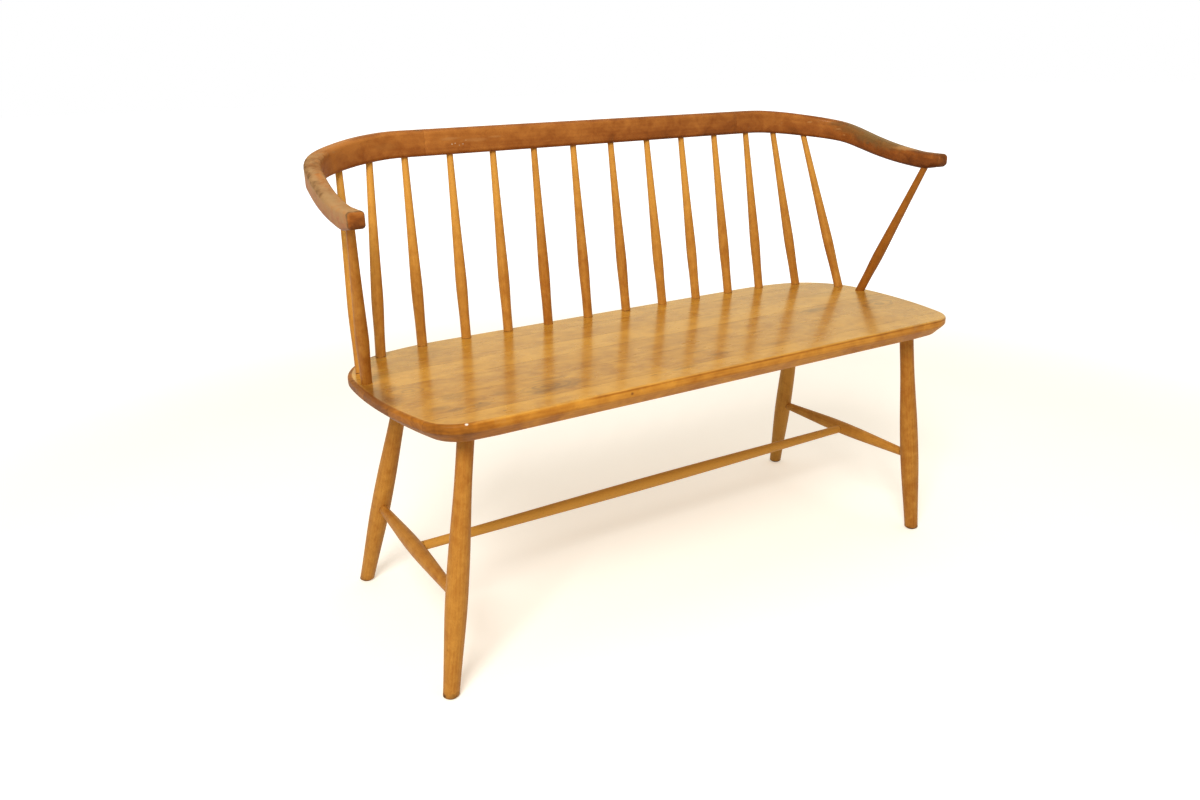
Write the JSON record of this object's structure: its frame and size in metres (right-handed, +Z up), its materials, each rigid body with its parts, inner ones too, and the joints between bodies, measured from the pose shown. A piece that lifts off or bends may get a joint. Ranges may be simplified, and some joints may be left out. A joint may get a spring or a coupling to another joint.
{
  "type": "spindle-back bench",
  "caption": "Wooden bench with a row of turned spindles under a bow rail that bends round into two arms, a boarded seat and splayed legs joined by stretchers",
  "frame": {"origin": "on the floor under the middle of the outer box", "axes": "X along the bench with +X to a sitter's left hand, -Y towards the front, Z up"},
  "size_m": [1.0994, 0.4712, 0.7865],
  "materials": {
    "seat_wood": "satin lacquer",
    "rail_wood": "satin lacquer",
    "turned_wood": "satin lacquer",
    "glide_metal": "dulled steel"
  },
  "bodies": {
    "root": {"seat_board_1": "seat_wood", "seat_board_2": "seat_wood", "seat_board_3": "seat_wood", "seat_board_4": "seat_wood", "seat_board_5": "seat_wood", "seat_board_6": "seat_wood", "rail_back": "rail_wood", "rail_arm_left": "rail_wood", "rail_arm_right": "rail_wood", "back_spindle_01": "turned_wood", "back_spindle_02": "turned_wood", "back_spindle_03": "turned_wood", "back_spindle_04": "turned_wood", "back_spindle_05": "turned_wood", "back_spindle_06": "turned_wood", "back_spindle_07": "turned_wood", "back_spindle_08": "turned_wood", "back_spindle_09": "turned_wood", "back_spindle_10": "turned_wood", "back_spindle_11": "turned_wood", "back_spindle_12": "turned_wood", "back_spindle_13": "turned_wood", "back_spindle_14": "turned_wood", "arm_post_left": "turned_wood", "arm_post_right": "turned_wood", "leg_front_left": "turned_wood", "leg_front_right": "turned_wood", "leg_back_left": "turned_wood", "leg_back_right": "turned_wood", "side_stretcher_left": "turned_wood", "side_stretcher_right": "turned_wood", "centre_stretcher": "turned_wood", "glide_front_left": "glide_metal", "glide_front_right": "glide_metal", "glide_back_left": "glide_metal", "glide_back_right": "glide_metal"}
  },
  "joints": []
}
